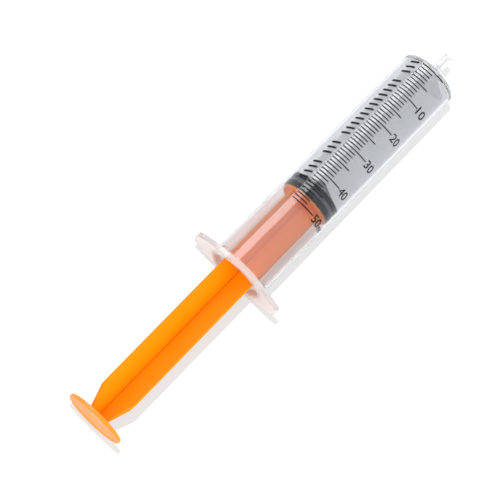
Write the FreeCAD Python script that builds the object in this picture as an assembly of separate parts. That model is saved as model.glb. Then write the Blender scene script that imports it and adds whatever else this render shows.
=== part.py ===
# 50 ml oral syringe: a clear barrel with a printed scale, a ribbed plunger rod and a rubber stopper.
#
# The syringe lies along X with its nozzle towards +X, its finger flange along Y and its scale facing
# up, +Z. The origin is the centre of the nozzle's mouth. Each solid is made with x = 0 in the front
# face of the flange, where the tube begins, and is moved to the origin as it is saved.
# Lengths are in millimetres and angles in degrees.
import FreeCAD, Part
import math
import os

# Volume and scale
CAPACITY_ML = 50            # highest mark of the scale
FILL_ML = 43.3              # where the stopper stands at rest
FLANGE_TO_TOP_MARK = 39.6   # plain tube between the flange and the highest mark
ZERO_TO_SHOULDER = 1.9      # plain tube in front of the 0 mark

# Barrel
BORE_R = 13.35
WALL = 1.3
SHOULDER_ROUND = 1.6
NOSE_SLOPE = 27.7           # of the nose's cone and the stopper's, from a plane across the axis
NOZZLE_R = 2.48
NOZZLE_LENGTH = 6.4         # from the nose's cone to the step
TIP_R = 2.1
TIP_LENGTH = 1.5
NOZZLE_BORE_R = 1.1
NOZZLE_ROOT_ROUND = 0.8
TIP_ROUND = 0.5
OPEN_END_CHAMFER = 0.6
RIDGE_START = 0.8           # ring inside the open end that keeps the stopper in
RIDGE_WIDTH = 1.8
RIDGE_RAMP = 0.5
RIDGE_HEIGHT = 0.35

# Finger flange
FLANGE_THICKNESS = 2.5
FLANGE_WING = 10.35         # how far each end stands out beyond the tube
FLANGE_LIP = 1.65           # how far each long side stands out at its middle
FLANGE_SIDE_R = 34.0
FLANGE_CORNER_R = 4.0
FLANGE_EDGE_ROUND = 0.5
FLANGE_ROOT_ROUND = 1.5

# Stopper
SEAL_CLEARANCE = 0.04       # between a sealing ring and the bore
FRONT_RING_WIDTH = 2.1
GROOVE_WIDTH = 2.1
GROOVE_DEPTH = 0.9
REAR_RING_WIDTH = 2.6
RING_CHAMFER = 0.3
CONE_TIP_R = 1.2
CONE_GAP = 0.3              # left between the cones at the 0 mark
STOPPER_SKIN = 1.6          # rubber behind the rod's head

# Plunger rod
HEAD_CLEARANCE = 0.06
HEAD_R = 7.0
HEAD_LENGTH = 3.0
HEAD_NOSE_R = 2.6
HEAD_NOSE_LENGTH = 3.0
NECK_R = 4.5
SUPPORT_CLEARANCE = 1.05    # between the support disc and the bore
SUPPORT_THICKNESS = 1.5
RIB_SETBACK = 0.1           # of the ribs inside the support disc's edge
RIB_THICKNESS = 1.6
RIB_TURN = 45.0
WAIST_REACH = 7.2
WAIST_LENGTH = 3.0
TAPER_LENGTH = 11.2
THUMB_OVERHANG = 0.55       # of the thumb disc beyond the tube's radius
THUMB_THICKNESS = 1.9
THUMB_RIM = 1.6
THUMB_DISH = 0.3
THUMB_ROUND = 0.6
PARKED_GAP = 12.7           # from the thumb disc to the flange with the stopper at the 0 mark

# Printed scale
INK_DEPTH = 0.05            # how far the print bites into the tube
INK_PROUD = 0.01
MARK_WIDTH = 0.55
BASELINE_WIDTH = 0.2        # of the thin line that joins the marks at their starts
MARK_START_ANGLE = 25.0     # measured from the top, positive towards +Y
ONE_ML_END_ANGLE = -3.0
FIVE_ML_END_ANGLE = -15.5
TEN_ML_END_ANGLE = -26.0

# Worked out from the sizes above
BARREL_R = BORE_R + WALL
THUMB_R = BARREL_R + THUMB_OVERHANG
SUPPORT_R = BORE_R - SUPPORT_CLEARANCE
RIB_REACH = SUPPORT_R - RIB_SETBACK
ML_LENGTH = 1000.0 / (math.pi * BORE_R ** 2)
CONE_RATIO = math.tan(math.radians(NOSE_SLOPE))
ZERO_X = FLANGE_TO_TOP_MARK + CAPACITY_ML * ML_LENGTH
SHOULDER_X = ZERO_X + ZERO_TO_SHOULDER
NOSE_X = SHOULDER_X + (BARREL_R - NOZZLE_R) * CONE_RATIO
STEP_X = NOSE_X + NOZZLE_LENGTH
MOUTH_X = STEP_X + TIP_LENGTH
SEAL_R = BORE_R - SEAL_CLEARANCE
SEAL_FRONT_X = ZERO_X - FILL_ML * ML_LENGTH
STOPPER_BACK_X = SEAL_FRONT_X - FRONT_RING_WIDTH - GROOVE_WIDTH - REAR_RING_WIDTH
HEAD_BACK_X = STOPPER_BACK_X + STOPPER_SKIN + HEAD_CLEARANCE
SUPPORT_FRONT_X = STOPPER_BACK_X - HEAD_CLEARANCE
SUPPORT_BACK_X = SUPPORT_FRONT_X - SUPPORT_THICKNESS
THUMB_FRONT_X = -FLANGE_THICKNESS - PARKED_GAP - FILL_ML * ML_LENGTH
THUMB_BACK_X = THUMB_FRONT_X - THUMB_THICKNESS

AXIS = FreeCAD.Vector(1, 0, 0)
ORIGIN = FreeCAD.Vector(0, 0, 0)


def turned(points):
    """Solid of revolution about X, from (x, radius) points that run from axis to axis."""
    corners = [FreeCAD.Vector(x, 0, radius) for x, radius in points]
    face = Part.Face(Part.makePolygon(corners + corners[:1]))
    return face.revolve(ORIGIN, AXIS, 360)


def rims(solid, x, radius):
    """The circular edges of a solid that lie across the axis at x, with that radius."""
    found = []
    for edge in solid.Edges:
        curve = edge.Curve
        if isinstance(curve, Part.Circle) and abs(curve.Radius - radius) < 1e-4:
            if abs(curve.Center.x - x) < 1e-4 and abs(curve.Axis.x) > 0.999:
                found.append(edge)
    return found


def cone_x(start_x, start_radius, radius):
    """Where a cone of the nose's slope that starts at start_x has narrowed to radius."""
    return start_x + (start_radius - radius) * CONE_RATIO


def flange_plate():
    """Finger flange: two long arcs, two straight ends and rounded corners."""
    half_span = BARREL_R + FLANGE_WING
    half_height = BARREL_R + FLANGE_LIP
    arc_centre_z = half_height - FLANGE_SIDE_R
    end_z = arc_centre_z + math.sqrt(FLANGE_SIDE_R ** 2 - half_span ** 2)
    back_x = -FLANGE_THICKNESS

    def at(y, z):
        return FreeCAD.Vector(back_x, y, z)

    edges = [
        Part.Arc(at(-half_span, end_z), at(0, half_height), at(half_span, end_z)).toShape(),
        Part.LineSegment(at(half_span, end_z), at(half_span, -end_z)).toShape(),
        Part.Arc(at(half_span, -end_z), at(0, -half_height), at(-half_span, -end_z)).toShape(),
        Part.LineSegment(at(-half_span, -end_z), at(-half_span, end_z)).toShape(),
    ]
    plate = Part.Face(Part.Wire(edges)).extrude(FreeCAD.Vector(FLANGE_THICKNESS, 0, 0))
    corners = [e for e in plate.Edges if abs(e.BoundBox.XLength - FLANGE_THICKNESS) < 1e-6]
    plate = plate.makeFillet(FLANGE_CORNER_R, corners)
    outline = [e for e in plate.Edges if e.BoundBox.XLength < 1e-6]
    return plate.makeFillet(FLANGE_EDGE_ROUND, outline)


def barrel():
    """Tube, conical nose, nozzle and finger flange in one moulding."""
    body = turned([(-FLANGE_THICKNESS, 0), (-FLANGE_THICKNESS, BARREL_R), (SHOULDER_X, BARREL_R),
                   (NOSE_X, NOZZLE_R), (STEP_X, NOZZLE_R), (STEP_X, TIP_R), (MOUTH_X, TIP_R),
                   (MOUTH_X, 0)])
    body = body.makeFillet(SHOULDER_ROUND, rims(body, SHOULDER_X, BARREL_R))
    body = body.makeFillet(NOZZLE_ROOT_ROUND, rims(body, NOSE_X, NOZZLE_R))
    body = body.makeFillet(TIP_ROUND, rims(body, MOUTH_X, TIP_R))
    body = body.fuse(flange_plate()).removeSplitter()
    body = body.makeFillet(FLANGE_ROOT_ROUND, rims(body, 0, BARREL_R))

    inner_start_x = ZERO_X + CONE_GAP
    back_x = -FLANGE_THICKNESS
    ridge_end = RIDGE_START + RIDGE_WIDTH
    hollow = turned([(back_x, 0), (back_x, BORE_R + OPEN_END_CHAMFER),
                     (back_x + OPEN_END_CHAMFER, BORE_R), (RIDGE_START, BORE_R),
                     (RIDGE_START + RIDGE_RAMP, BORE_R - RIDGE_HEIGHT),
                     (ridge_end - RIDGE_RAMP, BORE_R - RIDGE_HEIGHT), (ridge_end, BORE_R),
                     (inner_start_x, BORE_R),
                     (cone_x(inner_start_x, BORE_R, NOZZLE_BORE_R), NOZZLE_BORE_R),
                     (MOUTH_X, NOZZLE_BORE_R), (MOUTH_X, 0)])
    return body.cut(hollow)


def head_points(clearance):
    """Profile of the rod's neck and head, grown by a clearance for the pocket they sit in."""
    nose_start_x = HEAD_BACK_X + HEAD_LENGTH
    nose_end_x = nose_start_x + HEAD_NOSE_LENGTH + clearance
    back_x = HEAD_BACK_X - clearance
    start_x = SUPPORT_FRONT_X + clearance
    return [(start_x, 0), (start_x, NECK_R + clearance), (back_x, NECK_R + clearance),
            (back_x, HEAD_R + clearance), (nose_start_x, HEAD_R + clearance),
            (nose_end_x, HEAD_NOSE_R + clearance), (nose_end_x, 0)]


def stopper():
    """Rubber stopper: two sealing rings, a conical front and a pocket for the rod's head."""
    groove_r = SEAL_R - GROOVE_DEPTH
    front_ring_x = SEAL_FRONT_X - FRONT_RING_WIDTH
    rear_ring_x = front_ring_x - GROOVE_WIDTH
    cone_start_r = SEAL_R - RING_CHAMFER
    body = turned([(STOPPER_BACK_X, 0), (STOPPER_BACK_X, SEAL_R - RING_CHAMFER),
                   (STOPPER_BACK_X + RING_CHAMFER, SEAL_R), (rear_ring_x, SEAL_R),
                   (rear_ring_x + RING_CHAMFER, groove_r), (front_ring_x - RING_CHAMFER, groove_r),
                   (front_ring_x, SEAL_R), (SEAL_FRONT_X, SEAL_R),
                   (cone_x(SEAL_FRONT_X, SEAL_R, cone_start_r), cone_start_r),
                   (cone_x(SEAL_FRONT_X, SEAL_R, CONE_TIP_R), CONE_TIP_R),
                   (cone_x(SEAL_FRONT_X, SEAL_R, CONE_TIP_R), 0)])
    return body.cut(turned(head_points(HEAD_CLEARANCE)))


def rib_plate(turn):
    """One flat rib pair through the axis, narrowed to a waist behind the thumb disc."""
    waist_x = THUMB_FRONT_X + WAIST_LENGTH
    knee_x = waist_x + TAPER_LENGTH
    side = [(THUMB_FRONT_X, WAIST_REACH), (waist_x, WAIST_REACH), (knee_x, RIB_REACH),
            (SUPPORT_BACK_X, RIB_REACH)]
    other = [(x, -reach) for x, reach in reversed(side)]
    corners = [FreeCAD.Vector(x, -RIB_THICKNESS / 2, reach) for x, reach in side + other]
    plate = Part.Face(Part.makePolygon(corners + corners[:1]))
    plate = plate.extrude(FreeCAD.Vector(0, RIB_THICKNESS, 0))
    plate.rotate(ORIGIN, AXIS, turn)
    return plate


def thumb_disc():
    """Round disc with a shallow dish inside a narrow rim on the side that is pressed."""
    dish_r = THUMB_R - THUMB_RIM
    disc = turned([(THUMB_BACK_X, 0), (THUMB_BACK_X, THUMB_R), (THUMB_FRONT_X, THUMB_R),
                   (THUMB_FRONT_X, 0)])
    edges = rims(disc, THUMB_BACK_X, THUMB_R) + rims(disc, THUMB_FRONT_X, THUMB_R)
    disc = disc.makeFillet(THUMB_ROUND, edges)
    dish = turned([(THUMB_BACK_X, 0), (THUMB_BACK_X, dish_r),
                   (THUMB_BACK_X + THUMB_DISH, dish_r - THUMB_DISH), (THUMB_BACK_X + THUMB_DISH, 0)])
    return disc.cut(dish)


def plunger_rod():
    """Thumb disc, four ribs, support disc and the headed stud that holds the stopper."""
    support = turned([(SUPPORT_BACK_X, 0), (SUPPORT_BACK_X, SUPPORT_R), (SUPPORT_FRONT_X, SUPPORT_R),
                      (SUPPORT_FRONT_X, 0)])
    stud = turned(head_points(0))
    body = thumb_disc().fuse([rib_plate(RIB_TURN), rib_plate(-RIB_TURN), support, stud])
    return body.removeSplitter()


def printed_patch(start_x, end_x, start_angle, end_angle):
    """Thin patch of ink on the tube between two places along X and two angles from the top."""
    inner, outer = BARREL_R - INK_DEPTH, BARREL_R + INK_PROUD
    corners = [FreeCAD.Vector(x, 0, r) for x, r in
               ((start_x, inner), (end_x, inner), (end_x, outer), (start_x, outer))]
    face = Part.Face(Part.makePolygon(corners + corners[:1]))
    face.rotate(ORIGIN, AXIS, -start_angle)
    return face.revolve(ORIGIN, AXIS, start_angle - end_angle)


def scale_lines():
    """A mark at each millilitre, longer at 5 and 10, and the thin line that their starts meet."""
    top_x = ZERO_X - CAPACITY_ML * ML_LENGTH
    baseline_angle = MARK_START_ANGLE + math.degrees(BASELINE_WIDTH / BARREL_R)
    marks = [printed_patch(top_x - MARK_WIDTH / 2, ZERO_X + MARK_WIDTH / 2, baseline_angle,
                           MARK_START_ANGLE)]
    for ml in range(CAPACITY_ML + 1):
        if ml % 10 == 0:
            end_angle = TEN_ML_END_ANGLE
        elif ml % 5 == 0:
            end_angle = FIVE_ML_END_ANGLE
        else:
            end_angle = ONE_ML_END_ANGLE
        x = ZERO_X - ml * ML_LENGTH
        marks.append(printed_patch(x - MARK_WIDTH / 2, x + MARK_WIDTH / 2, MARK_START_ANGLE, end_angle))
    return Part.makeCompound(marks)


os.makedirs("parts", exist_ok=True)
for make in (barrel, stopper, plunger_rod, scale_lines):
    piece = make()
    piece.translate(FreeCAD.Vector(-MOUTH_X, 0, 0))
    piece.exportStep("parts/" + make.__name__ + ".step")
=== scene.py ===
"""Oral syringe: a clear barrel with a printed scale, a rubber stopper and an orange plunger rod."""

import math

import bmesh
import bpy
from bpy.props import FloatProperty, FloatVectorProperty, IntProperty, PointerProperty
from mathutils import Matrix, Vector


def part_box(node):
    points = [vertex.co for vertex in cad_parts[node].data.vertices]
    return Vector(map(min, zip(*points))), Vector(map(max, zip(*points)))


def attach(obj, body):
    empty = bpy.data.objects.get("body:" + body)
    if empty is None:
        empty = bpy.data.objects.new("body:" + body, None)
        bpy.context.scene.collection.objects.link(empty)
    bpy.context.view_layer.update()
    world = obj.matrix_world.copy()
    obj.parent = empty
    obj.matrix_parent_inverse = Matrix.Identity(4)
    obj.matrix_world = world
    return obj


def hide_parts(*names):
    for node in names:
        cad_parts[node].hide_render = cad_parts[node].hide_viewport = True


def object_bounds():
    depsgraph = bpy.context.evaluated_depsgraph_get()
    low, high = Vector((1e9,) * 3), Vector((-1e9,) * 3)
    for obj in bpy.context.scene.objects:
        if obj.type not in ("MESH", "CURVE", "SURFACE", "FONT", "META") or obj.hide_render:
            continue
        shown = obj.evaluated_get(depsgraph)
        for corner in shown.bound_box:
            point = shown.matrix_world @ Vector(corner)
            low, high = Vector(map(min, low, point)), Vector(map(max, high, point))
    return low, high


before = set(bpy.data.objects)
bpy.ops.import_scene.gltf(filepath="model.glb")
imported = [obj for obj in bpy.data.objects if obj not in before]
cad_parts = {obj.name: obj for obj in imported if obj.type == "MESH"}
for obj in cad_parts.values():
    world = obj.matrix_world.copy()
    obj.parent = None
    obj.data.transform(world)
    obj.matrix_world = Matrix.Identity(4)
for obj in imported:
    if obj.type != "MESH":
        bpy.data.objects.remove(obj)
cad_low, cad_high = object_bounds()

bl_info = {
    "name": "Oral Syringe",
    "version": (1, 0, 0),
    "blender": (4, 5, 0),
    "location": "View3D > Sidebar > Syringe",
    "description": "Builds the finished surfaces of an oral syringe round its packed model",
    "category": "Add Mesh",
}

MM = 0.001
AXIS = Vector((1, 0, 0))
SHARP_EDGE = math.radians(32)
ROUND_SEGMENTS = 6

# Places along X and radii that the pieces share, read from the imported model
barrel_low, barrel_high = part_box("barrel")
stopper_low, stopper_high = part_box("stopper")
rod_low, rod_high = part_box("plunger_rod")
marks_low, marks_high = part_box("scale_lines")
MOUTH_X = barrel_high.x
FLANGE_BACK_X = barrel_low.x
FLANGE_HALF_SPAN = barrel_high.y
FLANGE_HALF_HEIGHT = barrel_high.z

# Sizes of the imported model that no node's box gives
FLANGE_LIP = 1.65 * MM
WALL = 1.3 * MM
SHOULDER_STEP = 1.6 * MM  # from the shoulder's outer corner back to its inner one
RIDGE_START = 0.8 * MM
RIDGE_WIDTH = 1.8 * MM
RIDGE_RAMP = 0.5 * MM
OPEN_END_CHAMFER = 0.6 * MM
STOPPER_SKIN = 1.6 * MM  # rubber behind the rod's head
HEAD_CLEARANCE = 0.06 * MM
HEAD_R = 7 * MM
HEAD_LENGTH = 3 * MM
HEAD_NOSE_R = 2.6 * MM
HEAD_NOSE_LENGTH = 3 * MM
NECK_R = 4.5 * MM
RIB_TURN = math.radians(45)
HALF_LINE = 0.275 * MM  # half the width of a scale line

TUBE_R = FLANGE_HALF_HEIGHT - FLANGE_LIP
BORE_R = TUBE_R - WALL
PRINT_R = TUBE_R - 0.005 * MM  # the print starts just inside the tube's surface

# The row of leaning marks beside the scale
SIDE_MARKS_X = -17.6 * MM
SIDE_MARK_GROUPS = (3, 12, 3, 4)


def length(name, default, description, least=0.0):
    """A size in metres that a user may change."""
    return FloatProperty(
        name=name, description=description, default=default, min=least, precision=5, unit="LENGTH"
    )


def share(name, default, description):
    """A value from 0 to 1 that a user may change."""
    return FloatProperty(
        name=name, description=description, default=default, min=0, max=1, subtype="FACTOR"
    )


def angle(name, degrees, description):
    """An angle that a user may change."""
    return FloatProperty(
        name=name, description=description, default=math.radians(degrees), subtype="ANGLE"
    )


def colour(name, default, description):
    """A colour that a user may change."""
    return FloatVectorProperty(
        name=name, description=description, default=default, min=0, max=1, size=3, subtype="COLOR"
    )


def power(name, watts, description):
    """The strength of a lamp that a user may change."""
    return FloatProperty(
        name=name, description=description, default=watts, min=0, unit="POWER"
    )


class BarrelSettings(bpy.types.PropertyGroup):
    """Sizes and finish of the clear barrel."""

    spin_steps: IntProperty(
        name="Spin Steps", description="Sides of every turned surface", default=144, min=24
    )
    flange_thickness: length("Flange Thickness", 2.5 * MM, "Thickness of the finger flange")
    flange_side_radius: length("Flange Side Radius", 34 * MM, "Radius of the flange's long sides")
    flange_corner: length("Flange Corner", 4 * MM, "Rounding of the flange's corners")
    flange_edge: length("Flange Edge", 0.5 * MM, "Rounding of the flange's rim")
    parting_ridge: length("Parting Ridge", 0.05 * MM, "Height of the mould line round the rim")
    root_round: length("Root Round", 1.0 * MM, "Rounding between the flange and the tube")
    shoulder_x: length("Shoulder", -14.29 * MM, "Where the tube turns into the nose", -1)
    shoulder_round: length("Shoulder Round", 1.6 * MM, "Rounding of the shoulder")
    nose_x: length("Nose", -7.9 * MM, "Where the nose meets the nozzle", -1)
    nozzle_radius: length("Nozzle Radius", 2.48 * MM, "Outside radius of the nozzle")
    tip_radius: length("Tip Radius", 2.1 * MM, "Outside radius of the nozzle's tip")
    tip_length: length("Tip Length", 1.5 * MM, "Length of the nozzle's tip")
    nozzle_bore: length("Nozzle Bore", 1.1 * MM, "Radius of the hole through the nozzle")
    ridge_height: length("Ridge Height", 0.35 * MM, "Height of the ridge that keeps the stopper in")
    # the tube's grey is partly the plastic's own tint and partly painted shade, standing in for the
    # shadowed floor seen through the tube
    tint: colour("Tint", (0.79, 0.805, 0.83), "Colour of the tube's clear plastic")
    haze: colour("Haze", (0.76, 0.775, 0.80), "Colour of the duller patches in it")
    clearness: share("Clearness", 0.995, "How clear rather than milky the thin tube is")
    scuffed_x: length("Scuffed Part", -101 * MM, "Where the bore starts to be scuffed", -1)
    scuffed_fade: length("Scuffed Fade", 9 * MM, "Length over which the scuffing grows")
    # painted light: the warm cast of the scuffed bore stands in for orange light bounced from the
    # rod inside; its haze is the plastic's own
    scuffed_tint_with_painted_bounce: colour("Scuffed Tint", (1.0, 0.89, 0.86), "Colour of that part of the bore")
    scuffed_haze_with_painted_bounce: colour("Scuffed Haze", (0.97, 0.86, 0.83), "Colour of the duller patches in it")
    scuffed_clearness: share("Scuffed Clearness", 0.78, "How clear that part of the bore is")
    nose_tint: colour("Nose Tint", (0.95, 0.955, 0.965), "Colour of the nose and the nozzle")
    nose_haze: colour("Nose Haze", (0.92, 0.925, 0.935), "Colour of the duller patches in them")
    nose_clearness: share("Nose Clearness", 0.70, "How clear the nose and the nozzle are")
    flange_tint: colour("Flange Tint", (0.90, 0.86, 0.85), "Colour of the thick flange")
    flange_haze: colour("Flange Haze", (0.86, 0.82, 0.81), "Colour of its duller patches")
    flange_clearness: share("Flange Clearness", 0.55, "How clear the thick flange is")


class StopperSettings(bpy.types.PropertyGroup):
    """Sizes and finish of the rubber stopper."""

    front_ring: length("Front Ring", 2.1 * MM, "Width of the front sealing ring")
    groove: length("Groove", 2.1 * MM, "Width of the groove between the rings")
    groove_depth: length("Groove Depth", 0.9 * MM, "Depth of that groove")
    rear_ring: length("Rear Ring", 2.6 * MM, "Width of the rear sealing ring")
    ring_round: length("Ring Round", 0.35 * MM, "Rounding of the rings' corners")
    cone_tip: length("Cone Tip", 1.2 * MM, "Radius of the flat tip of the cone")
    rubber: colour("Rubber", (0.003, 0.004, 0.010), "Colour of the rubber where it rubs")
    bloom: colour("Bloom", (0.13, 0.145, 0.175), "Colour of the bloom on the rest of it")
    pale_bloom: colour("Pale Bloom", (0.20, 0.22, 0.255), "Colour of the paler patches of it")


class PlungerSettings(bpy.types.PropertyGroup):
    """Sizes and finish of the plunger rod."""

    rib_thickness: length("Rib Thickness", 1.6 * MM, "Thickness of the four ribs")
    rib_reach: length("Rib Reach", 12.2 * MM, "How far the ribs stand out from the axis")
    waist_reach: length("Waist Reach", 7.2 * MM, "The same beside the thumb disc")
    waist_length: length("Waist Length", 3 * MM, "Length of that narrow part")
    taper_length: length("Taper Length", 11.2 * MM, "Length over which the ribs widen")
    rib_edge: length("Rib Edge", 0.28 * MM, "Rounding of the ribs' edges")
    rib_draft: length("Rib Draft", 0.25 * MM, "How much thinner each side of a rib's edge is")
    support_radius: length("Support Radius", 12.3 * MM, "Radius of the disc behind the stopper")
    support_thickness: length("Support Thickness", 1.5 * MM, "Thickness of that disc")
    thumb_thickness: length("Thumb Thickness", 1.9 * MM, "Thickness of the thumb disc")
    thumb_rim: length("Thumb Rim", 1.6 * MM, "Width of the rim round its dish")
    thumb_dish: length("Thumb Dish", 0.3 * MM, "Depth of its dish")
    thumb_round: length("Thumb Round", 0.6 * MM, "Rounding of its edge")
    pin_mark_x: length("Pin Mark", -178 * MM, "Where the ejector pin left its mark", -1)
    pin_mark_radius: length("Pin Mark Radius", 2.2 * MM, "Radius of that mark")
    orange: colour("Orange", (1.0, 0.29, 0.0), "Colour of the plastic")
    deep_orange: colour("Deep Orange", (0.98, 0.26, 0.0), "Colour of its deeper streaks")
    # painted shade: the dark line where the ribs meet stands in for the shade and orange
    # interreflection in that crease
    painted_valley_shade: colour("Root Line", (0.80, 0.13, 0.0), "Colour of the line where the ribs meet")


class PrintSettings(bpy.types.PropertyGroup):
    """Sizes and finish of the print on the barrel."""

    digit_height: length("Digit Height", 4.2 * MM, "Height of the numerals")
    digit_width: length("Digit Width", 2.6 * MM, "Width of one numeral")
    unit_height: length("Unit Height", 2.9 * MM, "Height of the small letters of the unit")
    numeral_start: angle("Numeral Start", 28, "Angle from the top at which the numerals start")
    stroke: length("Stroke", 0.07 * MM, "How far the ink spreads beyond the numerals' outline")
    ink_height: length("Ink Height", 0.02 * MM, "Thickness of the ink")
    band_start: angle("Band Start", 31, "Angle from the top at which the side marks start")
    band_end: angle("Band End", 50, "Angle from the top at which they end")
    band_mark: length("Band Mark", 1.15 * MM, "Width of one side mark")
    band_pitch: length("Band Pitch", 3.2 * MM, "Distance from one side mark to the next")
    band_lean: angle("Band Lean", 18, "How far the side marks lean")
    ink: colour("Ink", (0.004, 0.004, 0.005), "Colour of the ink")


class StageSettings(bpy.types.PropertyGroup):
    """The floor, the lamps and the camera."""

    floor_colour: colour("Floor", (0.15, 0.15, 0.15), "Colour of the floor")
    floor_radius: length("Floor Radius", 12, "Radius of the floor")
    floor_gap: length("Floor Gap", 0.1 * MM, "Distance from the flange's edge to the floor")
    floor_glow: FloatProperty(
        name="Floor Glow", description="Light that the floor gives, as a light table does",
        default=0.67, min=0,
    )
    sky: FloatProperty(name="Sky", description="Strength of the white sky", default=1.15, min=0)
    key: power("Key", 34.0, "Power of the small lamp overhead, which shades the floor")
    strip: power("Strip", 8.0, "Power of the long lamp that lights the barrel's edge")
    fill: power("Fill", 6.5, "Power of the broad lamp on the other side")
    tilt: angle("Tilt", 14.2, "How far the camera leans back along the rod")
    turn: angle("Turn", 45.62, "Angle of the syringe across the view")
    distance: length("Distance", 1.0, "Distance from the camera to the middle of the syringe")
    target: FloatVectorProperty(
        name="Target", description="Point in the middle of the view", size=3,
        default=(-0.134, 0.0032, 0.0), subtype="TRANSLATION", unit="LENGTH",
    )
    lens: FloatProperty(
        name="Lens", description="Focal length of the camera", default=158.4, unit="CAMERA"
    )


class SyringeSettings(bpy.types.PropertyGroup):
    """Everything that can be changed about the syringe."""

    barrel: PointerProperty(type=BarrelSettings, name="Barrel", description="The clear barrel")
    stopper: PointerProperty(type=StopperSettings, name="Stopper", description="The stopper")
    plunger: PointerProperty(type=PlungerSettings, name="Plunger", description="The plunger rod")
    ink: PointerProperty(type=PrintSettings, name="Print", description="The print on the barrel")
    stage: PointerProperty(type=StageSettings, name="Stage", description="Floor, lamps, camera")


# ---------------------------------------------------------------- shapes


def round_corner(bm, vert, radius, segments):
    """Rounds one corner of a line of edges to a radius."""
    first, second = (edge.other_vert(vert).co - vert.co for edge in vert.link_edges)
    turn = math.pi - first.angle(second)
    bmesh.ops.bevel(
        bm, geom=[vert], offset=radius * math.tan(turn / 2), offset_type="OFFSET",
        segments=segments, profile=0.5, affect="VERTICES", material=-1,
    )


def add_line(bm, corners):
    """Draws a line through (x, radius, rounding) corners in the plane above the axis."""
    verts = [bm.verts.new((x, 0, radius)) for x, radius, _ in corners]
    for start, end in zip(verts, verts[1:]):
        bm.edges.new((start, end))
    for vert, (_, _, rounding) in zip(verts, corners):
        if rounding:
            round_corner(bm, vert, rounding, ROUND_SEGMENTS)


def turned(corners, steps):
    """Spins a line of (x, radius, rounding) corners about X."""
    bm = bmesh.new()
    add_line(bm, corners)
    bmesh.ops.spin(
        bm, geom=bm.verts[:] + bm.edges[:], cent=(0, 0, 0), axis=AXIS, dvec=(0, 0, 0),
        angle=math.tau, steps=steps, use_merge=True,
    )
    bmesh.ops.remove_doubles(bm, verts=bm.verts, dist=1e-7)
    return bm


def merge_in(bm, other):
    """Adds another bmesh to this one and frees it."""
    mesh = bpy.data.meshes.new("part")
    other.to_mesh(mesh)
    other.free()
    bm.from_mesh(mesh)
    bpy.data.meshes.remove(mesh)


def finished_piece(name, bm, material, body):
    """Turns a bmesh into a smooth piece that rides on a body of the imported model."""
    mesh = bpy.data.meshes.new(name)
    bm.to_mesh(mesh)
    bm.free()
    mesh.shade_smooth()
    mesh.set_sharp_from_angle(angle=SHARP_EDGE)
    mesh.materials.append(material)
    piece = bpy.data.objects.new(name, mesh)
    bpy.context.scene.collection.objects.link(piece)
    weights = piece.modifiers.new("even_shading", "WEIGHTED_NORMAL")
    weights.keep_sharp = True
    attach(piece, body)
    return piece


def flange_outline(bm, settings):
    """Draws the flange's outline at the back of the flange."""
    half_span, half_height = FLANGE_HALF_SPAN, FLANGE_HALF_HEIGHT
    radius = settings.flange_side_radius
    centre_z = half_height - radius
    half_turn = math.asin(half_span / radius)
    start = bm.verts.new((FLANGE_BACK_X, -half_span, centre_z + radius * math.cos(half_turn)))
    arc = bmesh.ops.spin(
        bm, geom=[start], cent=(0, 0, centre_z), axis=-AXIS, dvec=(0, 0, 0),
        angle=2 * half_turn, steps=28, use_merge=False,
    )
    ends = [start, arc["geom_last"][0]]
    other = bmesh.ops.duplicate(bm, geom=bm.verts[:] + bm.edges[:])
    twin = other["vert_map"]
    other_ends = [twin[end] for end in ends]
    bmesh.ops.rotate(
        bm, verts=[item for item in other["geom"] if isinstance(item, bmesh.types.BMVert)],
        cent=(0, 0, 0), matrix=Matrix.Rotation(math.pi, 3, "X"),
    )
    bm.edges.new((ends[0], other_ends[1]))
    bm.edges.new((ends[1], other_ends[0]))
    for corner in ends + other_ends:
        round_corner(bm, corner, settings.flange_corner, 8)


def flange_rim(settings):
    """The flange's edge, as a band with rounded corners and a fine mould line."""
    bm = bmesh.new()
    flange_outline(bm, settings)
    edge, ridge, depth = settings.flange_edge, settings.parting_ridge, settings.flange_thickness
    corner = [
        (edge * (1 - math.sin(a)), ridge + edge * (1 - math.cos(a)))
        for a in (math.radians(step) for step in (90, 67.5, 45, 22.5, 0))
    ]
    middle = [(depth / 2 - 2 * ridge, ridge), (depth / 2 - ridge, 0),
              (depth / 2 + ridge, 0), (depth / 2 + 2 * ridge, ridge)]
    rings = corner + middle + [(depth - x, inset) for x, inset in reversed(corner)]
    loop, now = bm.edges[:], (0.0, 0.0)
    for number, (x, inset) in enumerate(rings):
        if number:
            grown = bmesh.ops.extrude_edge_only(bm, edges=loop)["geom"]
            loop = [item for item in grown if isinstance(item, bmesh.types.BMEdge)]
        verts = list({vert for item in loop for vert in item.verts})
        grow_y = (FLANGE_HALF_SPAN - inset) / (FLANGE_HALF_SPAN - now[1])
        grow_z = (FLANGE_HALF_HEIGHT - inset) / (FLANGE_HALF_HEIGHT - now[1])
        bmesh.ops.scale(bm, verts=verts, vec=(1, grow_y, grow_z))
        bmesh.ops.translate(bm, verts=verts, vec=(x - now[0], 0, 0))
        now = (x, inset)
    return bm


def scuffed_edges(settings):
    """The places where the bore grows duller, from the stopper back."""
    return [settings.scuffed_x - settings.scuffed_fade * step / 3 for step in range(4)]


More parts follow.
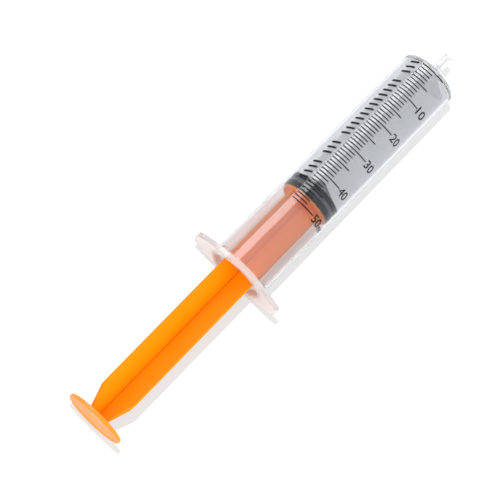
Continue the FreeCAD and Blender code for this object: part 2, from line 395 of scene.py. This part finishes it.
def barrel_shape(settings):
    """Tube, nose, nozzle, bore and flange as one closed skin."""
    front_x = FLANGE_BACK_X + settings.flange_thickness
    step_x = MOUTH_X - settings.tip_length
    slope = (settings.nose_x - settings.shoulder_x) / (TUBE_R - settings.nozzle_radius)
    inner_x = settings.shoulder_x - SHOULDER_STEP
    cone_end_x = inner_x + (BORE_R - settings.nozzle_bore) * slope
    ridge_x, ridge_r = front_x + RIDGE_START, BORE_R - settings.ridge_height
    bm = turned([
        (front_x, TUBE_R + 1.02 * settings.root_round, 0),
        (front_x, TUBE_R, settings.root_round),
        (settings.shoulder_x, TUBE_R, settings.shoulder_round),
        (settings.nose_x, settings.nozzle_radius, 0.8 * MM),
        (step_x, settings.nozzle_radius, 0.15 * MM),
        (step_x, settings.tip_radius, 0),
        (MOUTH_X, settings.tip_radius, 0.45 * MM),
        (MOUTH_X, settings.nozzle_bore, 0.12 * MM),
        (cone_end_x, settings.nozzle_bore, 0.3 * MM),
        (inner_x, BORE_R, 0.8 * MM),
        *((x, BORE_R, 0) for x in scuffed_edges(settings)),
        (ridge_x + RIDGE_WIDTH, BORE_R, 0.3 * MM),
        (ridge_x + RIDGE_WIDTH - RIDGE_RAMP, ridge_r, 0.3 * MM),
        (ridge_x + RIDGE_RAMP, ridge_r, 0.3 * MM),
        (ridge_x, BORE_R, 0.3 * MM),
        (FLANGE_BACK_X + OPEN_END_CHAMFER, BORE_R, 0.2 * MM),
        (FLANGE_BACK_X, BORE_R + OPEN_END_CHAMFER, 0),
    ], settings.spin_steps)
    merge_in(bm, flange_rim(settings))
    for x in (front_x, FLANGE_BACK_X):
        rims = [edge for edge in bm.edges
                if edge.is_boundary and all(abs(vert.co.x - x) < 1e-6 for vert in edge.verts)]
        bmesh.ops.triangle_fill(bm, use_beauty=True, use_dissolve=False, edges=rims)
    bmesh.ops.recalc_face_normals(bm, faces=bm.faces)
    return bm


def stopper_shape(settings, steps):
    """Two sealing rings, a cone in front and a pocket for the rod's head."""
    back_x, tip_x, seal_r = stopper_low.x, stopper_high.x, stopper_high.z
    rear_ring_x = back_x + settings.rear_ring
    front_ring_x = rear_ring_x + settings.groove
    seal_front_x = front_ring_x + settings.front_ring
    groove_r, rounding = seal_r - settings.groove_depth, settings.ring_round
    pocket_back_x = back_x + STOPPER_SKIN
    pocket_cone_x = pocket_back_x + HEAD_LENGTH + HEAD_CLEARANCE
    pocket_front_x = pocket_cone_x + HEAD_NOSE_LENGTH + HEAD_CLEARANCE
    pocket_r, hole_r = HEAD_R + HEAD_CLEARANCE, NECK_R + HEAD_CLEARANCE
    bm = turned([
        (back_x, hole_r, 0),
        (back_x, seal_r, rounding),
        (rear_ring_x, seal_r, rounding),
        (rear_ring_x + 0.3 * MM, groove_r, rounding),
        (front_ring_x - 0.3 * MM, groove_r, rounding),
        (front_ring_x, seal_r, rounding),
        (seal_front_x, seal_r, rounding),
        (tip_x, settings.cone_tip, 0.4 * MM),
        (tip_x, 0, 0),
        (pocket_front_x, 0, 0),
        (pocket_front_x, HEAD_NOSE_R + HEAD_CLEARANCE, 0),
        (pocket_cone_x, pocket_r, 0),
        (pocket_back_x, pocket_r, 0),
        (pocket_back_x, hole_r, 0),
        (back_x, hole_r, 0),
    ], steps)
    bmesh.ops.recalc_face_normals(bm, faces=bm.faces)
    return bm


def rib_cross(settings, start_x, end_x):
    """Four ribs round the axis, narrowed to a waist beside the thumb disc."""
    half = settings.rib_thickness / 2
    tip = half - settings.rib_draft
    waist = settings.waist_reach
    bm = bmesh.new()
    outline = [(waist, -tip), (waist, tip), (half, half), (tip, waist), (-tip, waist),
               (-half, half), (-waist, tip), (-waist, -tip), (-half, -half), (-tip, -waist),
               (tip, -waist), (half, -half)]
    section = bm.faces.new([bm.verts.new((start_x, y, z)) for y, z in outline])
    stations = [(start_x + settings.waist_length, waist),
                (start_x + settings.waist_length + settings.taper_length, settings.rib_reach),
                (end_x, settings.rib_reach)]
    x, reach = start_x, waist
    for next_x, next_reach in stations:
        grown = bmesh.ops.extrude_face_region(bm, geom=[section])["geom"]
        if x != start_x:
            bmesh.ops.delete(bm, geom=[section], context="FACES_ONLY")
        section = next(item for item in grown if isinstance(item, bmesh.types.BMFace))
        bmesh.ops.translate(bm, verts=section.verts, vec=(next_x - x, 0, 0))
        for axis in (1, 2):
            tips = [vert for vert in section.verts if abs(vert.co[axis]) > reach * 0.99]
            grow = Vector((1, 1, 1))
            grow[axis] = next_reach / reach
            bmesh.ops.scale(bm, verts=tips, vec=grow)
        x, reach = next_x, next_reach
    bmesh.ops.recalc_face_normals(bm, faces=bm.faces)
    edges = [edge for edge in bm.edges
             if abs(edge.verts[0].co.x - edge.verts[1].co.x) > half
             and all(max(abs(vert.co.y), abs(vert.co.z)) > 1.01 * half for vert in edge.verts)]
    bmesh.ops.bevel(
        bm, geom=edges, offset=settings.rib_edge, offset_type="OFFSET", segments=3,
        profile=0.5, affect="EDGES", material=-1,
    )
    bmesh.ops.rotate(
        bm, verts=bm.verts, cent=(0, 0, 0), matrix=Matrix.Rotation(RIB_TURN, 3, "X")
    )
    return bm


def pin_mark(settings):
    """The faint round mark that an ejector pin left on one rib."""
    bm = bmesh.new()
    radius = settings.pin_mark_radius
    bmesh.ops.create_circle(bm, cap_ends=True, segments=40, radius=radius)
    face = bm.faces[:][0]
    bmesh.ops.inset_region(bm, faces=[face], thickness=0.12 * MM, depth=0.07 * MM)
    bmesh.ops.inset_region(bm, faces=[face], thickness=0.16 * MM, depth=-0.05 * MM)
    # flat on the rib that leans towards +Y, on the side that faces up
    out_from_axis, surface = 3.9 * MM, settings.rib_thickness / 2
    place = (
        Matrix.Rotation(RIB_TURN, 4, "X")
        @ Matrix.Translation((settings.pin_mark_x, out_from_axis, surface))
    )
    bmesh.ops.transform(bm, verts=bm.verts, matrix=place)
    return bm


def plunger_shape(settings, steps):
    """Thumb disc, ribs, support disc and the headed stud that holds the stopper."""
    back_x, head_front_x, thumb_r = rod_low.x, rod_high.x, rod_high.z
    front_x = back_x + settings.thumb_thickness
    support_front_x = stopper_low.x - HEAD_CLEARANCE
    support_back_x = support_front_x - settings.support_thickness
    dish_x = back_x + settings.thumb_dish
    dish_r = thumb_r - settings.thumb_rim
    head_back_x = stopper_low.x + STOPPER_SKIN + HEAD_CLEARANCE
    bm = turned([
        (dish_x, 0, 0),
        (dish_x, dish_r - settings.thumb_dish, 0.3 * MM),
        (back_x, dish_r, 0.3 * MM),
        (back_x, thumb_r, settings.thumb_round),
        (front_x, thumb_r, settings.thumb_round),
        (front_x, 0, 0),
    ], steps)
    merge_in(bm, turned([
        (support_back_x, 0, 0),
        (support_back_x, settings.support_radius, 0.3 * MM),
        (support_front_x, settings.support_radius, 0.3 * MM),
        (support_front_x, NECK_R, 0.2 * MM),
        (head_back_x, NECK_R, 0),
        (head_back_x, HEAD_R, 0.2 * MM),
        (head_back_x + HEAD_LENGTH, HEAD_R, 0.2 * MM),
        (head_front_x, HEAD_NOSE_R, 0.2 * MM),
        (head_front_x, 0, 0),
    ], steps))
    bmesh.ops.recalc_face_normals(bm, faces=bm.faces)
    merge_in(bm, rib_cross(settings, front_x - 0.4 * MM, support_back_x + 0.4 * MM))
    merge_in(bm, pin_mark(settings))
    return bm


def as_thin_ink(piece):
    """Ink is too thin to shade the floor or the rod below it."""
    piece.visible_diffuse = False
    piece.visible_shadow = False


def wrap_print(bm, x, radius, height):
    """Gives a flat shape a thickness and lays it round the tube.

    Its X runs round from the top towards -Y, its Y along the tube's X.
    """
    across = [vert.co.x for vert in bm.verts]
    slice_width = 0.4 * MM
    for number in range(1, math.ceil((max(across) - min(across)) / slice_width)):
        bmesh.ops.bisect_plane(
            bm, geom=bm.verts[:] + bm.edges[:] + bm.faces[:], dist=1e-8,
            plane_co=(min(across) + number * slice_width, 0, 0), plane_no=(1, 0, 0),
        )
    grown = bmesh.ops.extrude_face_region(bm, geom=bm.faces[:])["geom"]
    top = [item for item in grown if isinstance(item, bmesh.types.BMVert)]
    bmesh.ops.translate(bm, verts=top, vec=(0, 0, height))
    for vert in bm.verts:
        turn, reach = vert.co.x / radius, radius + vert.co.z
        vert.co = (x + vert.co.y, -reach * math.sin(turn), reach * math.cos(turn))
    bmesh.ops.recalc_face_normals(bm, faces=bm.faces)


def spread_outline(bm, distance):
    """Moves the outline of a flat shape outwards, as ink spreads."""
    moves = []
    for vert in bm.verts:
        outward = []
        for edge in vert.link_edges:
            if edge.is_boundary:
                along = (edge.verts[1].co - edge.verts[0].co).normalized()
                across = Vector((along.y, -along.x, 0))
                inward = edge.link_faces[0].calc_center_median() - edge.verts[0].co
                outward.append(-across if across.dot(inward) > 0 else across)
        if len(outward) == 2:
            first, second = outward
            moves.append((vert, (first + second) * distance / max(1 + first.dot(second), 0.5)))
    for vert, move in moves:
        vert.co += move


def flat_text(body, height, width, stroke):
    """A word as a flat bmesh whose middle line is at Y 0 and whose left end is at X 0."""
    curve = bpy.data.curves.new("word", "FONT")
    curve.body = body
    curve.resolution_u = 5
    holder = bpy.data.objects.new("word", curve)
    bpy.context.scene.collection.objects.link(holder)
    mesh = bpy.data.meshes.new_from_object(holder)
    bpy.data.objects.remove(holder)
    bpy.data.curves.remove(curve)
    bm = bmesh.new()
    bm.from_mesh(mesh)
    bpy.data.meshes.remove(mesh)
    bmesh.ops.remove_doubles(bm, verts=bm.verts, dist=1e-5)
    low = Vector(map(min, *(vert.co for vert in bm.verts)))
    high = Vector(map(max, *(vert.co for vert in bm.verts)))
    bmesh.ops.translate(bm, verts=bm.verts, vec=(-low.x, -(low.y + high.y) / 2, 0))
    bmesh.ops.scale(
        bm, verts=bm.verts, vec=(width / (high.x - low.x), height / (high.y - low.y), 1)
    )
    spread_outline(bm, stroke)
    return bm


# ---------------------------------------------------------------- finishes


class Finish:
    """A material whose Principled shader is fed by patterns on Object coordinates."""

    def __init__(self, name):
        self.material = bpy.data.materials.new(name)
        self.material.use_nodes = True
        self.nodes = self.material.node_tree.nodes
        self.links = self.material.node_tree.links
        self.shader = self.nodes["Principled BSDF"]
        self.place = self.nodes.new("ShaderNodeTexCoord").outputs["Object"]

    def set(self, **values):
        """Sets plain values on the shader's own sockets."""
        for key, value in values.items():
            self.shader.inputs[key.replace("_", " ")].default_value = value

    def noise(self, scale, detail, stretch=(1, 1, 1)):
        """A noise pattern, drawn out along an axis where its stretch is small."""
        mapping = self.nodes.new("ShaderNodeMapping")
        mapping.inputs["Scale"].default_value = stretch
        texture = self.nodes.new("ShaderNodeTexNoise")
        texture.inputs["Scale"].default_value = scale
        texture.inputs["Detail"].default_value = detail
        self.links.new(self.place, mapping.inputs["Vector"])
        self.links.new(mapping.outputs["Vector"], texture.inputs["Vector"])
        return texture.outputs["Fac"]

    def between(self, pattern, low, high, start=0.3, end=0.7):
        """A pattern spread over a range of values."""
        spread = self.nodes.new("ShaderNodeMapRange")
        spread.inputs["From Min"].default_value = start
        spread.inputs["From Max"].default_value = end
        spread.inputs["To Min"].default_value = low
        spread.inputs["To Max"].default_value = high
        self.links.new(pattern, spread.inputs["Value"])
        return spread.outputs["Result"]

    def from_axis(self):
        """The distance from the syringe's axis, in metres."""
        flat = self.nodes.new("ShaderNodeMapping")
        flat.inputs["Scale"].default_value = (0, 1, 1)
        reach = self.nodes.new("ShaderNodeVectorMath")
        reach.operation = "LENGTH"
        self.links.new(self.place, flat.inputs["Vector"])
        self.links.new(flat.outputs["Vector"], reach.inputs[0])
        return reach.outputs["Value"]

    def along_axis(self):
        """The place along the syringe's axis, in metres."""
        parts = self.nodes.new("ShaderNodeSeparateXYZ")
        self.links.new(self.place, parts.inputs["Vector"])
        return parts.outputs["X"]

    def two_colours(self, pattern, first, second):
        """A pattern between two colours, each a plain one or another pattern's."""
        mix = self.nodes.new("ShaderNodeMix")
        mix.data_type = "RGBA"
        ends = [socket for socket in mix.inputs if socket.type == "RGBA"]
        for end, tone in zip(ends, (first, second)):
            if isinstance(tone, bpy.types.NodeSocket):
                self.links.new(tone, end)
            else:
                end.default_value = (*tone, 1)
        self.links.new(pattern, mix.inputs["Factor"])
        return next(socket for socket in mix.outputs if socket.type == "RGBA")

    def feed(self, socket, output):
        """Links a pattern to a socket of the shader."""
        self.links.new(output, self.shader.inputs[socket])

    def bump(self, pattern, strength, distance):
        """Adds a fine relief."""
        node = self.nodes.new("ShaderNodeBump")
        node.inputs["Strength"].default_value = strength
        node.inputs["Distance"].default_value = distance
        self.links.new(pattern, node.inputs["Height"])
        if self.shader.inputs["Normal"].is_linked:
            self.links.new(
                self.shader.inputs["Normal"].links[0].from_socket, node.inputs["Normal"]
            )
        self.links.new(node.outputs["Normal"], self.shader.inputs["Normal"])


def barrel_plastic(name, tint, haze, clearness, roughness):
    """Moulded plastic with faint clouds; clearness is how much of it is clear rather than milky."""
    finish = Finish(name)
    finish.set(IOR=1.38, Transmission_Weight=clearness)
    clouds = finish.between(finish.noise(30, 2), 0, 1)
    finish.feed("Base Color", finish.two_colours(clouds, tint, haze))
    finish.feed("Roughness", finish.between(finish.noise(60, 2), roughness, 1.5 * roughness))
    return finish.material


def black_rubber(settings):
    """Dull moulded rubber with a paler bloom."""
    finish = Finish("stopper_rubber")
    finish.set(IOR=1.5, Specular_IOR_Level=0.2)
    patches = finish.between(finish.noise(180, 5), 0, 1)
    bloom = finish.two_colours(patches, settings.bloom, settings.pale_bloom)
    seal_r = stopper_high.z
    rubbed = finish.between(finish.from_axis(), 0, 1, seal_r - 0.45 * MM, seal_r - 0.3 * MM)
    finish.feed("Base Color", finish.two_colours(rubbed, bloom, settings.rubber))
    finish.feed("Roughness", finish.between(finish.noise(420, 3), 0.3, 0.5))
    finish.bump(finish.noise(2600, 2), 0.25, 0.03 * MM)
    return finish.material


def orange_plastic(settings):
    """Satin moulded plastic with deeper streaks along the rod, and painted shade in the creases
    where the ribs meet.
    """
    finish = Finish("plunger_plastic")
    finish.set(IOR=1.49)
    streaks = finish.between(finish.noise(90, 4, stretch=(0.3, 1, 1)), 0, 1)
    body = finish.two_colours(streaks, settings.orange, settings.deep_orange)
    # painted shade: a thin darker band close to the axis, along the creases between the ribs
    valley_shade_mask = finish.between(finish.from_axis(), 1, 0, 1.2 * MM, 1.4 * MM)
    valley_shaded_body = finish.two_colours(valley_shade_mask, body, settings.painted_valley_shade)
    disc_x = rod_low.x + settings.thumb_thickness
    on_ribs = finish.between(finish.along_axis(), 0, 1, disc_x, disc_x + 0.5 * MM)
    finish.feed("Base Color", finish.two_colours(on_ribs, body, valley_shaded_body))
    finish.feed("Specular IOR Level", finish.between(on_ribs, 0.5, 0.12, 0, 1))
    finish.feed("Roughness", finish.between(finish.noise(160, 3), 0.34, 0.5))
    finish.bump(finish.noise(3200, 2), 0.12, 0.02 * MM)
    finish.bump(finish.noise(60, 2), 0.1, 0.2 * MM)
    return finish.material


def printing_ink(settings):
    """Black screen-print ink, a little thin in places."""
    finish = Finish("scale_ink")
    finish.set(Specular_IOR_Level=0.2)
    thin = tuple(min(1.0, part + 0.01) for part in settings.ink)
    patches = finish.between(finish.noise(900, 3), 0, 1, 0.45, 0.75)
    finish.feed("Base Color", finish.two_colours(patches, settings.ink, thin))
    finish.feed("Roughness", finish.between(finish.noise(700, 2), 0.6, 0.8))
    finish.bump(finish.noise(5000, 2), 0.15, 0.01 * MM)
    return finish.material


def pale_floor(settings):
    """Plain pale board."""
    finish = Finish("floor_board")
    tone = tuple(settings.floor_colour)
    shade = tuple(part * 0.985 for part in tone)
    patches = finish.between(finish.noise(3, 2), 0, 1)
    finish.feed("Base Color", finish.two_colours(patches, tone, shade))
    finish.set(
        Roughness=0.7, Specular_IOR_Level=0.2, Emission_Color=(1, 1, 1, 1),
        Emission_Strength=settings.floor_glow,
    )
    return finish.material


def ink_of(context):
    """The ink, made once and shared by the marks and the numerals."""
    made = bpy.data.materials.get("scale_ink")
    return made or printing_ink(context.scene.syringe.ink)


# ---------------------------------------------------------------- pieces


class SYRINGE_OT_barrel(bpy.types.Operator):
    """Make the clear barrel with its nozzle and finger flange"""

    bl_idname = "syringe.barrel"
    bl_label = "Clear Barrel"

    def execute(self, context):
        settings = context.scene.syringe.barrel
        shape = barrel_shape(settings)
        flange_end_x = FLANGE_BACK_X + settings.flange_thickness + settings.root_round
        nose_start_x = settings.shoulder_x - 0.9 * MM
        edges = scuffed_edges(settings)
        for face in shape.faces:
            x, y, z = face.calc_center_median()
            if x < flange_end_x:
                face.material_index = 1
            elif x > nose_start_x:
                outside = y * face.normal.y + z * face.normal.z > -1e-6
                face.material_index = 2 if outside else 0
            elif x < settings.scuffed_x and math.hypot(y, z) < (BORE_R + TUBE_R) / 2:
                face.material_index = 2 + sum(x < edge for edge in edges)
        duller = (settings.clearness - settings.scuffed_clearness) / len(edges)
        finishes = [
            ("milky_flange_plastic", settings.flange_tint, settings.flange_haze,
             settings.flange_clearness, 0.12),
            ("pale_nose_plastic", settings.nose_tint, settings.nose_haze,
             settings.nose_clearness, 0.06),
        ] + [
            # the scuffed bore's warm colour is painted orange bounce light from the rod
            (f"scuffed_bore_painted_bounce_plastic_{step}", settings.scuffed_tint_with_painted_bounce, settings.scuffed_haze_with_painted_bounce,
             settings.clearness - duller * step, 0.05)
            for step in range(1, len(edges) + 1)
        ]
        # its grey tint is partly painted shade of the floor seen through the tube
        clear = barrel_plastic(
            "clear_tube_plastic", settings.tint, settings.haze, settings.clearness, 0.03
        )
        piece = finished_piece("clear_barrel", shape, clear, "barrel")
        for finish in finishes:
            piece.data.materials.append(barrel_plastic(*finish))
        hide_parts("barrel")
        return {"FINISHED"}


class SYRINGE_OT_stopper(bpy.types.Operator):
    """Make the rubber stopper"""

    bl_idname = "syringe.stopper"
    bl_label = "Rubber Stopper"

    def execute(self, context):
        settings = context.scene.syringe
        piece = finished_piece(
            "rubber_stopper", stopper_shape(settings.stopper, settings.barrel.spin_steps),
            black_rubber(settings.stopper), "stopper",
        )
        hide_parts("stopper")
        return {"FINISHED"}


class SYRINGE_OT_plunger(bpy.types.Operator):
    """Make the orange plunger rod"""

    bl_idname = "syringe.plunger"
    bl_label = "Plunger Rod"

    def execute(self, context):
        settings = context.scene.syringe
        piece = finished_piece(
            "orange_plunger", plunger_shape(settings.plunger, settings.barrel.spin_steps),
            orange_plastic(settings.plunger), "plunger_rod",
        )
        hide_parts("plunger_rod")
        return {"FINISHED"}


class SYRINGE_OT_scale(bpy.types.Operator):
    """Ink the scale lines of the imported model"""

    bl_idname = "syringe.scale"
    bl_label = "Scale Lines"

    def execute(self, context):
        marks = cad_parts["scale_lines"]
        for slot in marks.material_slots:
            slot.material = ink_of(context)
        as_thin_ink(marks)
        return {"FINISHED"}


class SYRINGE_OT_numerals(bpy.types.Operator):
    """Print the numerals at every tenth line, and the unit after the last"""

    bl_idname = "syringe.numerals"
    bl_label = "Numerals"

    def execute(self, context):
        settings = context.scene.syringe.ink
        zero_x, top_x = marks_high.x - HALF_LINE, marks_low.x + HALF_LINE
        start = TUBE_R * settings.numeral_start
        gap, unit_width = 0.5 * MM, 3.6 * MM
        pair_width = 2 * settings.digit_width + gap
        bm = bmesh.new()
        for tens in range(1, 6):
            x = zero_x + (top_x - zero_x) * tens / 5
            word = flat_text(str(10 * tens), settings.digit_height, pair_width, settings.stroke)
            bmesh.ops.translate(word, verts=word.verts, vec=(start, 0, 0))
            wrap_print(word, x, PRINT_R, settings.ink_height)
            merge_in(bm, word)
        unit = flat_text("ml", settings.unit_height, unit_width, settings.stroke)
        drop = (settings.digit_height - settings.unit_height) / 2
        bmesh.ops.translate(
            unit, verts=unit.verts, vec=(start + pair_width + gap, -drop, 0)
        )
        wrap_print(unit, top_x, PRINT_R, settings.ink_height)
        merge_in(bm, unit)
        as_thin_ink(finished_piece("scale_numerals", bm, ink_of(context), "barrel"))
        return {"FINISHED"}


class SYRINGE_OT_side_marks(bpy.types.Operator):
    """Print the row of plain leaning marks beside the scale"""

    bl_idname = "syringe.side_marks"
    bl_label = "Side Marks"

    def execute(self, context):
        settings = context.scene.syringe.ink
        half_height = TUBE_R * (settings.band_end - settings.band_start) / 2
        middle = -TUBE_R * (settings.band_end + settings.band_start) / 2
        half_width = settings.band_mark / 2
        bm = bmesh.new()
        x = SIDE_MARKS_X
        for group in SIDE_MARK_GROUPS:
            for _ in range(group):
                mark = bmesh.new()
                corners = [(-half_height, -half_width), (half_height, -half_width),
                           (half_height, half_width), (-half_height, half_width)]
                mark.faces.new([mark.verts.new((across, along, 0)) for across, along in corners])
                bmesh.ops.bevel(
                    mark, geom=mark.verts[:], offset=half_width * 0.98, offset_type="OFFSET",
                    segments=5, profile=0.5, affect="VERTICES", material=-1,
                )
                bmesh.ops.rotate(
                    mark, verts=mark.verts, cent=(0, 0, 0),
                    matrix=Matrix.Rotation(settings.band_lean, 3, "Z"),
                )
                bmesh.ops.translate(mark, verts=mark.verts, vec=(middle, 0, 0))
                wrap_print(mark, x, PRINT_R, settings.ink_height)
                merge_in(bm, mark)
                x -= settings.band_pitch
            x -= settings.band_pitch
        as_thin_ink(finished_piece("side_marks", bm, ink_of(context), "barrel"))
        return {"FINISHED"}


def softbox(name, place, aim, size, watts):
    """A rectangular lamp at a place, turned towards a point."""
    lamp = bpy.data.lights.new(name, "AREA")
    lamp.shape = "RECTANGLE"
    lamp.size, lamp.size_y = size
    lamp.energy = watts
    holder = bpy.data.objects.new(name, lamp)
    bpy.context.scene.collection.objects.link(holder)
    holder.location = place
    holder.rotation_euler = (Vector(aim) - Vector(place)).to_track_quat("-Z", "Y").to_euler()
    return holder


class SYRINGE_OT_stage(bpy.types.Operator):
    """Set the floor, the lamps, the sky and the camera"""

    bl_idname = "syringe.stage"
    bl_label = "Stage"

    def execute(self, context):
        scene, settings = context.scene, context.scene.syringe.stage
        bm = bmesh.new()
        bmesh.ops.create_circle(bm, cap_ends=True, segments=64, radius=settings.floor_radius)
        bmesh.ops.translate(
            bm, verts=bm.verts, vec=(-0.12, 0, barrel_low.z - settings.floor_gap)
        )
        mesh = bpy.data.meshes.new("floor")
        bm.to_mesh(mesh)
        bm.free()
        mesh.materials.append(pale_floor(settings))
        floor = bpy.data.objects.new("floor", mesh)
        scene.collection.objects.link(floor)

        middle = ((cad_low + cad_high) / 2).freeze()
        key = softbox(
            "key_lamp", middle + Vector((-0.06, 0.235, 1.2)), middle, (0.03, 0.03), settings.key
        )
        strip = softbox(
            "strip_lamp", middle + Vector((0.25, 0.57, 0.66)), middle, (0.6, 0.45), settings.strip
        )
        fill = softbox(
            "fill_lamp", middle + Vector((-0.1, -1.1, 0.75)), middle, (1.4, 0.8), settings.fill
        )
        # the fill lights surfaces without a glint; the strip only glints
        fill.visible_glossy = fill.visible_transmission = False
        strip.visible_diffuse = strip.visible_transmission = False
        for name, state, lamps in (
            ("lit_from_overhead", "INCLUDE", (key,)),
            ("not_lit_from_the_sides", "EXCLUDE", (strip, fill)),
        ):
            lit = bpy.data.collections.new(name)
            lit.objects.link(floor)
            lit.collection_objects[0].light_linking.link_state = state
            for lamp in lamps:
                lamp.light_linking.receiver_collection = lit

        sky = bpy.data.worlds.new("white_sky")
        sky.use_nodes = True
        background = sky.node_tree.nodes["Background"]
        background.inputs["Color"].default_value = (1, 1, 1, 1)
        background.inputs["Strength"].default_value = settings.sky
        scene.world = sky
        scene.view_settings.view_transform = "Standard"

        back = Vector((-math.sin(settings.tilt), 0, math.cos(settings.tilt)))
        along = Vector((math.cos(settings.tilt), 0, math.sin(settings.tilt)))
        side = Vector((0, 1, 0))
        right = math.cos(settings.turn) * along - math.sin(settings.turn) * side
        up = math.sin(settings.turn) * along + math.cos(settings.turn) * side
        lens = bpy.data.cameras.new("camera")
        lens.lens = settings.lens
        lens.sensor_width = 36
        lens.clip_start = 0.05
        camera = bpy.data.objects.new("camera", lens)
        scene.collection.objects.link(camera)
        camera.matrix_world = Matrix.Translation(
            Vector(settings.target) + back * settings.distance
        ) @ Matrix((right, up, back)).transposed().to_4x4()
        scene.camera = camera
        return {"FINISHED"}


class SYRINGE_PT_build(bpy.types.Panel):
    """Lists the steps that build the syringe and the values that they use"""

    bl_idname = "SYRINGE_PT_build"
    bl_label = "Oral Syringe"
    bl_space_type = "VIEW_3D"
    bl_region_type = "UI"
    bl_category = "Syringe"

    def draw(self, context):
        layout = self.layout
        for piece in PIECES:
            layout.operator(piece.bl_idname)
        groups = context.scene.syringe
        for title in groups.bl_rna.properties.keys():
            group = getattr(groups, title)
            if isinstance(group, bpy.types.PropertyGroup):
                box = layout.box()
                box.label(text=groups.bl_rna.properties[title].name)
                for value in group.bl_rna.properties.keys():
                    if value not in ("rna_type", "name"):
                        box.prop(group, value)


PIECES = (
    SYRINGE_OT_stage, SYRINGE_OT_barrel, SYRINGE_OT_stopper, SYRINGE_OT_plunger,
    SYRINGE_OT_scale, SYRINGE_OT_numerals, SYRINGE_OT_side_marks,
)
SETTINGS = (
    BarrelSettings, StopperSettings, PlungerSettings, PrintSettings, StageSettings,
    SyringeSettings,
)


def register():
    """Registers the settings, the operators and the panel."""
    for kind in SETTINGS + PIECES + (SYRINGE_PT_build,):
        bpy.utils.register_class(kind)
    bpy.types.Scene.syringe = PointerProperty(type=SyringeSettings)


def unregister():
    """Removes what register added."""
    del bpy.types.Scene.syringe
    for kind in reversed(SETTINGS + PIECES + (SYRINGE_PT_build,)):
        bpy.utils.unregister_class(kind)


def main():
    """Builds every piece in order."""
    register()
    bpy.ops.syringe.stage()
    bpy.ops.syringe.barrel()
    bpy.ops.syringe.stopper()
    bpy.ops.syringe.plunger()
    bpy.ops.syringe.scale()
    bpy.ops.syringe.numerals()
    bpy.ops.syringe.side_marks()


if __name__ == "__main__":
    main()
